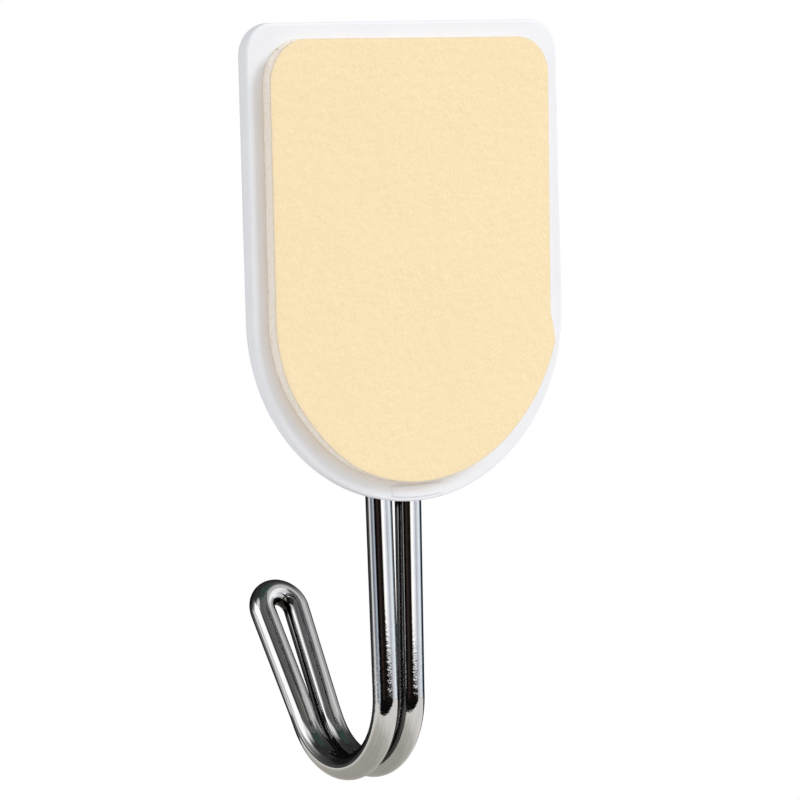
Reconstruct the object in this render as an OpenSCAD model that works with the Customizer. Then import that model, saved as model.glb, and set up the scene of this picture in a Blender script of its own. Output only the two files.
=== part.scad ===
// Adhesive wall hook: a moulded shield-shaped base carries a doubled wire hook on snap-in pivots,
// and a die-cut foam pad with its release liner covers the back.
// Millimetres. X runs to the right seen from the front, +Y points into the wall, +Z points up.
// The origin lies on the wall plane, behind the middle of the base's width and height.

/* [Base plate] */
// Width of the base plate, which also sets its round lower end
plate_w = 42; // [36:0.5:60]
// Height of the base plate
plate_h = 53.6; // [48:0.2:80]
// Thickness of the base plate at its rim
plate_t = 2.2; // [1.8:0.1:4]
// Radius of the two top corners of the plate
plate_corner_r = 3.6; // [2:0.1:8]
// Rounding of the rim on the front side
plate_front_round = 0.9; // [0.4:0.1:1.1]
// Rounding of the rim on the wall side
plate_back_round = 0.35; // [0.1:0.05:0.5]
// Width of the raised field's step in from the rim
field_inset = 4; // [3:0.25:6]
// Height of the raised field above the rim
field_h = 0.7; // [0.4:0.1:1.5]
// Radius of the two top corners of the raised field
field_corner_r = 2.6; // [1:0.1:6]
// Rounding of the raised field's edge
field_round = 0.4; // [0.1:0.1:0.6]
// Width of the raised gate land on the wall side of the lower rim
gate_w = 6.8; // [3:0.2:10]
// Height of the gate land above the back face
gate_h = 0.2; // [0.1:0.05:0.6]
// Distance of the gate land in from the flat of the back face
gate_inset = 0.1; // [0.05:0.05:0.5]
// Gap between the gate land and the pad above it
gate_clear = 0.4; // [0.3:0.05:1]

/* [Hood] */
// Height of the hood on the front of the plate
hood_h = 24; // [20:0.5:28]
// Distance from the pivot down to the hood's lower edge
hood_below = 5; // [4:0.25:7]
// Radius of the two lower corners of the hood
hood_corner_r = 3.2; // [2.6:0.1:5]
// Rounding of the hood's front edge
hood_round = 2.2; // [1:0.1:2.5]
// Wall of the hood in front of the wire and around the hollow above it
hood_wall = 1.7; // [1.2:0.1:3]
// Wall of the hood's cheek outside each pivot hole
cheek_wall = 1.7; // [1.2:0.1:3]
// Solid rib between the slot and the hollow in the upper hood
slot_rib = 1.6; // [1:0.1:3]

/* [Pivot] */
// Height of the pivot above the lower edge of the plate
pivot_up = 10; // [8:0.25:14]
// Straight length of each pivot arm past its elbow
arm_len = 3.6; // [2:0.1:6]
// Radial running clearance of a pivot arm in its hole
run_clear = 0.06; // [0.02:0.01:0.1]
// Sideways clearance between an elbow and the cheek beside it
side_clear = 0.25; // [0.15:0.05:0.6]
// Clearance past the end of each pivot arm
end_clear = 0.3; // [0.2:0.1:0.8]
// Gap between the hanging wire and the raised field that it rests against
rest_gap = 0.25; // [0.15:0.05:0.6]
// Gap between the wire and the top of the slot when the hook is lifted level
lift_gap = 0.3; // [0.2:0.1:1]
// Amount by which the entry to a pivot hole is narrower than the wire that snaps through it
snap_bite = 0.3; // [0.1:0.05:0.6]
// Length of the window in the plate below the pivot, through which the hook is threaded
window_below = 4; // [3:0.25:6]

/* [Wire hook] */
// Diameter of the wire
wire_d = 3; // [2.4:0.1:3.6]
// Gap between the two legs of the wire in the bottom bend
leg_gap = 0.5; // [0.3:0.1:2]
// Drop from the pivot to the start of the bottom bend
stem_drop = 32.25; // [24:0.25:50]
// Centre-line radius of the bottom bend
bend_r = 9; // [6:0.25:14]
// Angle through which the bottom bend turns
bend_angle = 148.7; // [130:0.1:165]
// Straight length of the tip legs between the bottom bend and the loop
tip_len = 12.7; // [8:0.1:24]
// Angle by which each tip leg spreads towards the loop
tip_spread = 2.4; // [0.5:0.1:5]
// Angle by which each stem leg spreads towards the pivot
stem_spread = 0.65; // [0.3:0.05:2]
// Centre-line radius of each elbow at the pivot
elbow_r = 2.4; // [2:0.1:3.6]
// Centre-line radius of the slight sideways set that starts each spread
set_r = 30; // [15:1:60]
// Straight run between the bottom bend and each sideways set
set_lead = 0.5; // [0.3:0.1:2]

/* [Foam pad] */
// Margin of bare plate beside the pad and below it
pad_margin = 2.2; // [1.5:0.1:5]
// Margin of bare plate above the pad
pad_top_margin = 1.9; // [1.5:0.1:5]
// Radius of the two top corners of the pad
pad_corner_r = 4.4; // [2:0.1:8]
// Turn of the hand-laid pad on the plate, in degrees
pad_turn = 0.3; // [-1.5:0.1:1.5]
// Distance of the hand-laid pad to the right of the plate's middle
pad_shift = 0.35; // [-0.8:0.05:0.8]
// Distance of the hand-laid pad above its even place
pad_lift = 0.1; // [-0.8:0.05:0.8]
// Thickness of each adhesive film
adhesive_t = 0.1; // [0.05:0.01:0.3]
// Thickness of the foam
foam_t = 1.4; // [0.8:0.1:3]
// Thickness of the paper release liner
liner_t = 0.12; // [0.05:0.01:0.3]

/* [Hidden] */
$fn = 64;

// Each bend is this much fuller than the straight wire, and each straight wire runs this far into a bend,
// so that neighbouring lengths of wire seat in one another
bend_swell = 0.02;
bend_seat = 0.2;
// Overrun of cutting shapes past the faces that they cut
cut = 1;
// Step to which the moulding's worked-out widths are rounded up
grid = 0.05;
function to_grid(size) = ceil(size / grid) * grid;

// Depths from the wall plane to each layer
outer_adhesive_y = liner_t;
foam_y = outer_adhesive_y + adhesive_t;
inner_adhesive_y = foam_y + foam_t;
plate_y = inner_adhesive_y + adhesive_t;

// Heights in the base's own frame: the centre of the round lower end is zero
plate_r = plate_w / 2;
arc_z = plate_r - plate_h / 2;
pivot_z = pivot_up - plate_r;

// Stations across the wire hook
wire_r = wire_d / 2;
leg_x = wire_r + leg_gap / 2;
stem_rise = stem_drop - set_lead - set_r * sin(stem_spread) - elbow_r * (1 - sin(stem_spread));
stem_len = stem_rise / cos(stem_spread);
elbow_x = leg_x + set_r * (1 - cos(stem_spread)) + stem_len * sin(stem_spread) + elbow_r * cos(stem_spread);
arm_x = elbow_x + arm_len;
loop_x = leg_x + set_r * (1 - cos(tip_spread)) + tip_len * sin(tip_spread);
loop_r = loop_x / cos(tip_spread);
loop_reach = set_lead + set_r * sin(tip_spread) + tip_len * cos(tip_spread) + loop_r * sin(tip_spread);

// Depths forward from the plate's back face
field_front = plate_t + field_h;
pivot_front = field_front + rest_gap + wire_r;
hood_front = pivot_front + wire_r + run_clear + hood_wall;

// The hood and what is cut from it
slot_w = 2 * (elbow_x + side_clear);
slot_top = pivot_z + wire_r + lift_gap;
bore_r = wire_r + run_clear;
bore_x = arm_x + end_clear;
hood_w = 2 * to_grid(bore_x + cheek_wall);
hood_low = pivot_z - hood_below;
hollow_low = slot_top + slot_rib;

// Carries a shape from the base's frame, where Z points to the front, to its depth from the wall
module at_depth(depth) {
    translate([0, -depth, arc_z])
        rotate([90, 0, 0])
            children();
}

// Quarter disc that rounds the outer corner of a section
module quarter_disc(r) {
    intersection() {
        circle(r = r);
        square(r);
    }
}

// Section of a rim, from its middle out to reach, with its front and back corners rounded
module rim_section(reach, t, front_r, back_r) {
    square([reach - back_r, t - front_r]);
    square([reach - front_r, t]);
    translate([0, back_r])
        square([reach, t - front_r - back_r]);
    if (front_r > 0)
        translate([reach - front_r, t - front_r])
            quarter_disc(front_r);
    if (back_r > 0)
        translate([reach - back_r, back_r])
            mirror([0, 1])
                quarter_disc(back_r);
}

// Shield with a round lower end about the origin and two rounded top corners
module shield(w, h, corner_r, t, front_r = 0, back_r = 0) {
    r = w / 2;
    side = h - r - corner_r;
    top_x = r - corner_r;
    rotate([0, 0, 180])
        rotate_extrude(angle = 180)
            rim_section(r, t, front_r, back_r);
    translate([0, side, 0])
        rotate([90, 0, 0])
            linear_extrude(height = side) {
                rim_section(r, t, front_r, back_r);
                mirror([1, 0])
                    rim_section(r, t, front_r, back_r);
            }
    translate([-top_x, side, 0])
        rotate([90, 0, 90])
            linear_extrude(height = 2 * top_x)
                rim_section(corner_r, t, front_r, back_r);
    translate([top_x, side, 0])
        rotate_extrude(angle = 90)
            rim_section(corner_r, t, front_r, back_r);
    translate([-top_x, side, 0])
        rotate([0, 0, 90])
            rotate_extrude(angle = 90)
                rim_section(corner_r, t, front_r, back_r);
}

// Arch-shaped hood: the shield's form upside down, with its flat end at the lower edge
module hood_block(inset, t, front_r) {
    translate([0, hood_low + hood_h - hood_w / 2, 0])
        rotate([0, 0, 180])
            shield(hood_w - 2 * inset, hood_h - 2 * inset, hood_corner_r, t, front_r);
}

// Slot for the swinging legs, open to the front and below, with a window through the plate
module leg_slot() {
    translate([-slot_w / 2, pivot_z - window_below, -cut])
        cube([slot_w, slot_top - pivot_z + window_below, field_front + 2 * cut]);
    translate([-slot_w / 2, hood_low - cut, field_front])
        cube([slot_w, slot_top - hood_low + cut, hood_front - field_front + cut]);
}

// Blind pivot holes in the two cheeks, each with a narrower entry from the back
module pivot_holes() {
    entry_w = wire_d - snap_bite;
    translate([-bore_x, pivot_z, pivot_front])
        rotate([0, 90, 0])
            cylinder(r = bore_r, h = 2 * bore_x);
    translate([-bore_x, pivot_z - entry_w / 2, -cut])
        cube([2 * bore_x, entry_w, pivot_front + cut]);
}

// Hollow in the upper hood, open to the back, that keeps the moulding's walls even
module hood_hollow() {
    intersection() {
        translate([0, 0, -cut])
            hood_block(hood_wall, hood_front - hood_wall + cut, 0);
        translate([-hood_w / 2, hollow_low, -cut])
            cube([hood_w, hood_h, hood_front]);
    }
}

// Raised land on the back face below the pad, where the moulding was gated
module gate_land() {
    intersection() {
        translate([0, 0, -gate_h])
            cylinder(r = plate_r - plate_back_round - gate_inset, h = gate_h + plate_t / 2);
        translate([-gate_w / 2, -plate_r, -gate_h - cut])
            cube([gate_w, pad_margin + pad_lift - gate_clear, plate_t + gate_h + 2 * cut]);
    }
}

module base_plate() {
    color("white")
        at_depth(plate_y)
            difference() {
                union() {
                    shield(plate_w, plate_h, plate_corner_r, plate_t, plate_front_round, plate_back_round);
                    translate([0, 0, plate_t / 2])
                        shield(plate_w - 2 * field_inset, plate_h - 2 * field_inset, field_corner_r,
                            field_front - plate_t / 2, field_round);
                    translate([0, 0, plate_t / 2])
                        hood_block(0, hood_front - plate_t / 2, hood_round);
                    gate_land();
                }
                leg_slot();
                pivot_holes();
                hood_hollow();
            }
}

// Length of wire bent towards +X from its start at the origin, heading up
module wire_bend(r, angle) {
    translate([r, 0, 0])
        rotate([90, 0, 0])
            rotate([0, 0, 180])
                rotate_extrude(angle = -angle)
                    translate([r, 0])
                        circle(r = wire_r + bend_swell);
}

// Wire made as a bender makes it: each step is [straight feed, turn about the wire, bend angle, bend radius]
module wire_walk(steps, i = 0) {
    feed = steps[i][0];
    turn = steps[i][1];
    angle = steps[i][2];
    r = steps[i][3];
    if (feed > 0)
        translate([0, 0, -bend_seat])
            cylinder(r = wire_r, h = feed + bend_seat + (angle > 0 ? bend_seat : 0));
    if (angle > 0)
        translate([0, 0, feed])
            rotate([0, 0, turn]) {
                wire_bend(r, angle);
                if (i + 1 < len(steps))
                    translate([r, 0, 0])
                        rotate([0, angle, 0])
                            translate([-r, 0, 0])
                                wire_walk(steps, i + 1);
            }
}

// One half of the hook, from the bottom bend up to its pivot arm and round to the loop
module hook_half() {
    translate([leg_x, 0, -stem_drop]) {
        wire_walk([
            [set_lead, 0, stem_spread, set_r],
            [stem_len, 0, 90 - stem_spread, elbow_r],
            [arm_len, 0, 0, 0]
        ]);
        rotate([0, 180, 0])
            wire_walk([
                [0, -90, bend_angle, bend_r],
                [set_lead, -90, tip_spread, set_r],
                [tip_len + bend_seat, 0, 0, 0]
            ]);
    }
}

// Loop that joins the two tip legs
module tip_loop() {
    translate([0, -bend_r, -stem_drop])
        rotate([-bend_angle, 0, 0])
            translate([0, bend_r, -loop_reach])
                rotate([90, 0, 0])
                    rotate([0, 0, 180 - tip_spread])
                        rotate_extrude(angle = 180 + 2 * tip_spread)
                            translate([loop_r, 0])
                                circle(r = wire_r + bend_swell);
}

module wire_hook() {
    color("silver")
        translate([0, -plate_y - pivot_front, arc_z + pivot_z]) {
            hook_half();
            mirror([1, 0, 0])
                hook_half();
            tip_loop();
        }
}

// One die-cut layer of the pad, with its back this far from the wall
module pad_layer(depth, t) {
    pad_w = plate_w - 2 * pad_margin;
    pad_h = plate_h - pad_margin - pad_top_margin;
    at_depth(depth)
        translate([pad_shift, pad_lift, 0])
            rotate([0, 0, pad_turn])
                shield(pad_w, pad_h, pad_corner_r, t);
}

module inner_adhesive() {
    color("ivory")
        pad_layer(inner_adhesive_y, adhesive_t);
}

module foam_core() {
    color("linen")
        pad_layer(foam_y, foam_t);
}

module outer_adhesive() {
    color("ivory")
        pad_layer(outer_adhesive_y, adhesive_t);
}

module release_liner() {
    color("moccasin")
        pad_layer(0, liner_t);
}

base_plate();
wire_hook();
inner_adhesive();
foam_core();
outer_adhesive();
release_liner();
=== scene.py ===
"""Looks of the adhesive wall hook.

The moulded base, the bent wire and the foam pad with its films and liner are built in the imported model's
frame. Sizes are in millimetres and are turned into metres where a mesh or a material is made. Angles are in
degrees. Distances in the studio are in metres, and heights there and the camera's aim in millimetres.
"""

import logging
import math
from dataclasses import dataclass
from enum import Enum
from functools import cache, reduce

import bmesh
import bpy
from mathutils import Matrix, Vector, noise


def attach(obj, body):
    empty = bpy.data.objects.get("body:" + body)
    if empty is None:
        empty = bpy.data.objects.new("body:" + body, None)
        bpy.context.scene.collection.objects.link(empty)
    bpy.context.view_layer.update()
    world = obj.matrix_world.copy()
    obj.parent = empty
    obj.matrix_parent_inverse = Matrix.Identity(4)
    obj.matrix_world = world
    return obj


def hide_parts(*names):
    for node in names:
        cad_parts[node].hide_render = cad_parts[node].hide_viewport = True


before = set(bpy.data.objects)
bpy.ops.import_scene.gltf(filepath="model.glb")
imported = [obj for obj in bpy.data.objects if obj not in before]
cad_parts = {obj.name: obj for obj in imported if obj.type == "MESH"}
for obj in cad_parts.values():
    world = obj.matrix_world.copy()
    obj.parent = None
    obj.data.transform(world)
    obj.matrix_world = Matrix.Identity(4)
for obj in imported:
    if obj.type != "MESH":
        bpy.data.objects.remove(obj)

LOG = logging.getLogger("wall_hook")
MM = 0.001
# Height of the centre of the base's round lower end
ROUND_END_UP = -5.8
# Distance from the wall plane to the back of the base
BASE_BACK = 1.72
# Place of the hinge: its height above the round end's centre, and its distance from the base's back
PIVOT_UP = -11.0
PIVOT_FRONT = 4.65
# Sideways shift of the hand-laid pad
PAD_SHIFT = 0.35
# Smallest corner radius that an inset leaves
LEAST_CORNER = 0.05
# Bearing of the photograph's camera, from the front of the object round to its right
CAMERA_AZIMUTH = 145.29
# Height of the studio's floor
FLOOR_UP = -105.0

Pair = tuple[float, float]
Triple = tuple[float, float, float]
Colour = tuple[float, float, float]
Outline = list[Pair]
Ring = list[Vector]
Skin = bmesh.types.BMesh
Piece = bpy.types.Object
Paint = bpy.types.Material
Socket = bpy.types.NodeSocket
Outputs = bpy.types.NodeOutputs
Source = Socket | float | str | tuple
Stops = tuple[tuple[float, Colour], ...]

WHITE: Colour = (1.0, 1.0, 1.0)
BLACK: Colour = (0.0, 0.0, 0.0)


class Body(Enum):
    """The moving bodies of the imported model."""

    BASE = "base"
    HOOK = "hook"
    LINER = "liner"


class Slot(Enum):
    """The record's material slots."""

    PLASTIC = "white_plastic"
    WIRE = "chromed_wire"
    FILM = "adhesive_film"
    FOAM = "cream_foam"
    PAPER = "liner_paper"


class Side(Enum):
    """The two sides of the foam that carry an adhesive film."""

    WALL = "film_wall_side"
    BASE = "film_base_side"


def metres(*sizes: float) -> tuple[float, ...]:
    """Turns millimetres into metres."""
    return tuple(size * MM for size in sizes)


def direction(azimuth: float, elevation: float) -> Vector:
    """Returns the way to a bearing, counted from the front round to the right, and to a height above it."""
    a, e = math.radians(azimuth), math.radians(elevation)
    return Vector((math.sin(a) * math.cos(e), -math.cos(a) * math.cos(e), math.sin(e)))


def beside(turn: float, along: float, up: float = 0.0) -> Vector:
    """Returns the place at a bearing from the camera, negative to the left, a distance and a height."""
    return direction(CAMERA_AZIMUTH + turn, 0.0) * along + Vector((0.0, 0.0, up * MM))


class NodeBench:
    """Adds nodes to one node tree and joins their sockets."""

    def __init__(self, tree: bpy.types.NodeTree) -> None:
        """Keeps the tree that the nodes go into."""
        self.tree = tree

    def fill(self, socket: Socket, value: Source) -> None:
        """Links a socket to another one, or sets its plain value.

        Args:
            socket: the input to fill.
            value: an output socket to link, or a plain value.
        """
        if isinstance(value, Socket):
            self.tree.links.new(value, socket)
        elif socket.type == "RGBA":
            socket.default_value = (*value, 1.0)
        else:
            socket.default_value = value

    def add(self, kind: str, inputs: dict | None = None, **options: object) -> bpy.types.Node:
        """Adds one node.

        Args:
            kind: the node's type name.
            inputs: input names or numbers with their values or source sockets.
            options: the node's own settings.

        Returns:
            The new node.
        """
        node = self.tree.nodes.new(kind)
        for name, value in options.items():
            setattr(node, name, value)
        for name, value in (inputs or {}).items():
            self.fill(node.inputs[name], value)
        return node

    def math(self, operation: str, *values: Source) -> Socket:
        """Returns the result of an operation on numbers."""
        return self.add("ShaderNodeMath", dict(enumerate(values)), operation=operation).outputs[0]

    def product(self, *values: Source) -> Socket:
        """Returns the product of two or more numbers."""
        return reduce(lambda one, other: self.math("MULTIPLY", one, other), values)

    def vector(self, operation: str, *values: Source) -> Socket:
        """Returns the result of an operation on vectors: a number for a length or a dot product."""
        result = "Value" if operation in ("LENGTH", "DOT_PRODUCT") else "Vector"
        return self.add("ShaderNodeVectorMath", dict(enumerate(values)), operation=operation).outputs[result]

    def split(self, vector: Socket) -> Outputs:
        """Returns the parts of a vector by the names X, Y and Z."""
        return self.add("ShaderNodeSeparateXYZ", {0: vector}).outputs

    def blend(self, factor: Source, first: Source, second: Source) -> Socket:
        """Mixes two colours by a factor, from the first to the second."""
        return self.add("ShaderNodeMix", {0: factor, 6: first, 7: second}, data_type="RGBA").outputs[2]

    def span(self, value: Source, source: Pair, result: tuple[Source, Source] = (0.0, 1.0)) -> Socket:
        """Maps a value from one range to another, held at the ends."""
        labels = ("Value", "From Min", "From Max", "To Min", "To Max")
        return self.add("ShaderNodeMapRange", dict(zip(labels, (value, *source, *result)))).outputs["Result"]

    def span_mm(self, value: Source, source: Pair, result: tuple[Source, Source] = (0.0, 1.0)) -> Socket:
        """Maps a length from a range in millimetres to another range, held at the ends."""
        return self.span(value, metres(*source), result)

    def ramp(self, factor: Source, stops: Stops) -> Socket:
        """Adds a colour ramp.

        Args:
            factor: position along the ramp.
            stops: pairs of position and colour.

        Returns:
            The ramp's colour.
        """
        node = self.add("ShaderNodeValToRGB", {"Fac": factor})
        elements = node.color_ramp.elements
        while len(elements) < len(stops):
            elements.new(0.5)
        for element, (position, colour) in zip(elements, stops):
            element.position = position
            element.color = (*colour, 1.0)
        return node.outputs["Color"]


Group = tuple[NodeBench, Outputs, bpy.types.NodeInputs]


def open_group(name: str, kind: str, inputs: dict[str, str], outputs: dict[str, str]) -> Group:
    """Opens a new node group with its named sockets.

    Args:
        name: the group's name.
        kind: the type of its tree.
        inputs: its inputs by name, with the short names of their socket types.
        outputs: its outputs, likewise.

    Returns:
        The bench, what the group is given by name, and what it has to fill by name.
    """
    tree = bpy.data.node_groups.new(name, kind)
    for way, sockets in (("INPUT", inputs), ("OUTPUT", outputs)):
        for label, short in sockets.items():
            tree.interface.new_socket(label, in_out=way, socket_type=f"NodeSocket{short}")
    bench = NodeBench(tree)
    return bench, bench.add("NodeGroupInput").outputs, bench.add("NodeGroupOutput").inputs


class SharedEffects:
    """Shader node groups that several finishes share, each made once."""

    @staticmethod
    def start(name: str, inputs: dict[str, str], outputs: dict[str, str]) -> Group:
        """Opens a group that takes coordinates and a grain size besides its own inputs."""
        both = {"Vector": "Vector", "Grain Size": "Float", **inputs}
        return open_group(name, "ShaderNodeTree", both, outputs)

    @staticmethod
    def cloud(bench: NodeBench, given: Outputs, detail: Source, roughness: float) -> Socket:
        """Adds noise at a group's grain size.

        Args:
            bench: the group's bench.
            given: what the group is given.
            detail: how many finer waves the noise has.
            roughness: how strong those are.

        Returns:
            The noise.
        """
        scale = bench.math("DIVIDE", 1.0, given["Grain Size"])
        inputs = {"Vector": given["Vector"], "Scale": scale, "Detail": detail, "Roughness": roughness}
        return bench.add("ShaderNodeTexNoise", inputs).outputs["Fac"]

    @staticmethod
    @cache
    def mottle() -> bpy.types.NodeTree:
        """Makes a cloudy drift between two colours.

        Returns:
            The group, which also gives the drift by itself.
        """
        bench, given, out = SharedEffects.start(
            "colour_mottle", {"Pale": "Color", "Deep": "Color", "Amount": "Float"},
            {"Color": "Color", "Mask": "Float"})
        cloud = SharedEffects.cloud(bench, given, detail=5.0, roughness=0.62)
        mask = bench.product(bench.span(cloud, (0.34, 0.66)), given["Amount"])
        bench.fill(out["Color"], bench.blend(mask, given["Pale"], given["Deep"]))
        bench.fill(out["Mask"], mask)
        return bench.tree

    @staticmethod
    @cache
    def relief() -> bpy.types.NodeTree:
        """Makes a fine height for a bump.

        Returns:
            The group.
        """
        bench, given, out = SharedEffects.start("fine_relief", {"Detail": "Float"}, {"Height": "Float"})
        bench.fill(out["Height"], SharedEffects.cloud(bench, given, given["Detail"], roughness=0.55))
        return bench.tree

    @staticmethod
    @cache
    def gloss() -> bpy.types.NodeTree:
        """Makes a roughness that drifts between two values over a surface.

        Returns:
            The group.
        """
        bench, given, out = SharedEffects.start(
            "gloss_drift", {"Low": "Float", "High": "Float"}, {"Roughness": "Float"})
        cloud = SharedEffects.cloud(bench, given, detail=4.0, roughness=0.5)
        bench.fill(out["Roughness"], bench.span(cloud, (0.3, 0.7), (given["Low"], given["High"])))
        return bench.tree


class MaterialBench(NodeBench):
    """A new material, and short calls for its shaders and the shared effects."""

    def __init__(self, name: str) -> None:
        """Makes the material with an empty tree.

        Args:
            name: the material's name.
        """
        self.material = bpy.data.materials.new(name)
        self.material.use_nodes = True
        super().__init__(self.material.node_tree)
        self.tree.nodes.clear()

    def show(self, shader: Socket) -> Paint:
        """Gives the material its shader and returns it."""
        self.add("ShaderNodeOutputMaterial", {"Surface": shader})
        return self.material

    def solid(self, **inputs: Source) -> Paint:
        """Gives the material a Principled shader, with an underscore for each space in an input's name."""
        named = {name.replace("_", " "): value for name, value in inputs.items()}
        return self.show(self.add("ShaderNodeBsdfPrincipled", named).outputs[0])

    def glow(self, colour: Source, strength: Source = 1.0) -> Socket:
        """Returns a shader that gives off light."""
        return self.add("ShaderNodeEmission", {"Color": colour, "Strength": strength}).outputs[0]

    def either(self, factor: Source, first: Socket, second: Socket) -> Socket:
        """Mixes two shaders by a factor, from the first to the second."""
        return self.add("ShaderNodeMixShader", {0: factor, 1: first, 2: second}).outputs[0]

    def place(self) -> Socket:
        """Returns the object's own coordinates."""
        return self.add("ShaderNodeTexCoord").outputs["Object"]

    def path(self) -> Outputs:
        """Returns what kind of light path is being followed."""
        return self.add("ShaderNodeLightPath").outputs

    def stretch(self, vector: Socket, scale: Triple, turn: float = 0.0) -> Socket:
        """Turns coordinates about Y and then scales them.

        Args:
            vector: the coordinates.
            scale: factor along each axis.
            turn: the turn.

        Returns:
            The new coordinates.
        """
        inputs = {"Vector": vector, "Scale": tuple(1 / part for part in scale),
                  "Rotation": (0.0, math.radians(turn), 0.0)}
        return self.add("ShaderNodeMapping", inputs, vector_type="TEXTURE").outputs[0]

    def effect(self, tree: bpy.types.NodeTree, place: Socket, size: float, inputs: dict) -> Outputs:
        """Places a shared effect at a grain size and returns its outputs."""
        given = {"Vector": place, "Grain Size": size * MM, **inputs}
        return self.add("ShaderNodeGroup", given, node_tree=tree).outputs

    def mottle(self, place: Socket, size: float, pale: Colour, deep: Colour, amount: float) -> Socket:
        """Returns a cloudy drift between two colours."""
        inputs = {"Pale": pale, "Deep": deep, "Amount": amount}
        return self.effect(SharedEffects.mottle(), place, size, inputs)["Color"]

    def patches(self, place: Socket, size: float, amount: float) -> Socket:
        """Returns a cloudy mask."""
        return self.effect(SharedEffects.mottle(), place, size, {"Amount": amount})["Mask"]

    def relief(self, place: Socket, size: float, detail: float = 3.0) -> Socket:
        """Returns a fine height for a bump."""
        return self.effect(SharedEffects.relief(), place, size, {"Detail": detail})["Height"]

    def gloss(self, place: Socket, size: float, low: float, high: float) -> Socket:
        """Returns a roughness that drifts between two values."""
        return self.effect(SharedEffects.gloss(), place, size, {"Low": low, "High": high})["Roughness"]

    def bump(self, height: Socket, depth: float, under: Socket | None = None) -> Socket:
        """Adds a bump.

        Args:
            height: the height.
            depth: depth of the relief.
            under: a normal to start from.

        Returns:
            The bumped normal.
        """
        inputs = {"Strength": 1.0, "Distance": depth * MM, "Height": height}
        if under is not None:
            inputs["Normal"] = under
        return self.add("ShaderNodeBump", inputs).outputs[0]


@dataclass(frozen=True)
class MouldedWhite:
    """White moulded plastic with a soft sheen, a faint mould texture and painted warm shade beside the pad.
    """

    pale: Colour = (0.890, 0.898, 0.928)
    deep: Colour = (0.862, 0.870, 0.902)
    cloud: float = 9.0
    shine: Pair = (0.34, 0.46)
    shine_patch: float = 2.5
    skin: float = 0.5
    skin_deep: float = 0.0025
    refraction: float = 1.49
    mirror_loss: float = 0.79
    warm_shade: Colour = (0.80, 0.655, 0.475)
    warm_shade_amount: float = 0.55
    warm_shade_fade: float = 1.8
    warm_shade_reach: Pair = (18.6, 20.7)
    warm_shade_lean: Triple = (0.8, 0.0, -0.6)
    warm_shade_side: Pair = (-2.0, 9.0)
    warm_shade_top: Pair = (18.0, 23.0)
    warm_shade_skin: Pair = (0.25, 0.05)

    def warm_shade_mask(self, bench: MaterialBench, place: Socket) -> Socket:
        """Finds where warm shade is painted on the back of the plate: the pad's shade, warmed by light off
        the foam.

        Args:
            bench: the material's bench.
            place: the object's coordinates.

        Returns:
            The mask: strongest at the pad's right and lower edge, and gone a little way out.
        """
        part = bench.split(place)
        x = bench.math("SUBTRACT", part["X"], PAD_SHIFT * MM)
        low = bench.math("MINIMUM", bench.math("SUBTRACT", part["Z"], ROUND_END_UP * MM), 0.0)
        arm = bench.add("ShaderNodeCombineXYZ", {"X": x, "Z": low}).outputs[0]
        near = bench.span_mm(bench.vector("LENGTH", arm), self.warm_shade_reach, (1.0, 0.0))
        side = bench.span_mm(bench.vector("DOT_PRODUCT", arm, self.warm_shade_lean), self.warm_shade_side)
        under = bench.span_mm(part["Z"], self.warm_shade_top, (1.0, 0.0))
        back = bench.span_mm(part["Y"], tuple(-BASE_BACK - skin for skin in self.warm_shade_skin))
        return bench.product(bench.math("POWER", near, self.warm_shade_fade), side, under, back)

    def material(self) -> Paint:
        """Makes the material.

        Returns:
            The material. It is darker where the chrome mirrors it, as the front of the base lies in shade.
        """
        bench = MaterialBench("moulded_white")
        place, path = bench.place(), bench.path()
        colour = bench.mottle(place, self.cloud, self.pale, self.deep, 1.0)
        # painted warm shade on the plate beside the pad, standing in for the pad's shade and the light off
        # the foam
        warm_shade_paint = bench.product(self.warm_shade_mask(bench, place), self.warm_shade_amount)
        colour = bench.blend(warm_shade_paint, colour, self.warm_shade)
        loss = bench.span(path["Glossy Depth"], (1.0, 2.0), (self.mirror_loss, 0.0))
        colour = bench.blend(bench.product(path["Is Glossy Ray"], loss), colour, BLACK)
        normal = bench.bump(bench.relief(place, self.skin), self.skin_deep)
        gloss = bench.gloss(place, self.shine_patch, *self.shine)
        return bench.solid(Base_Color=colour, Roughness=gloss, Normal=normal, IOR=self.refraction)


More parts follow.
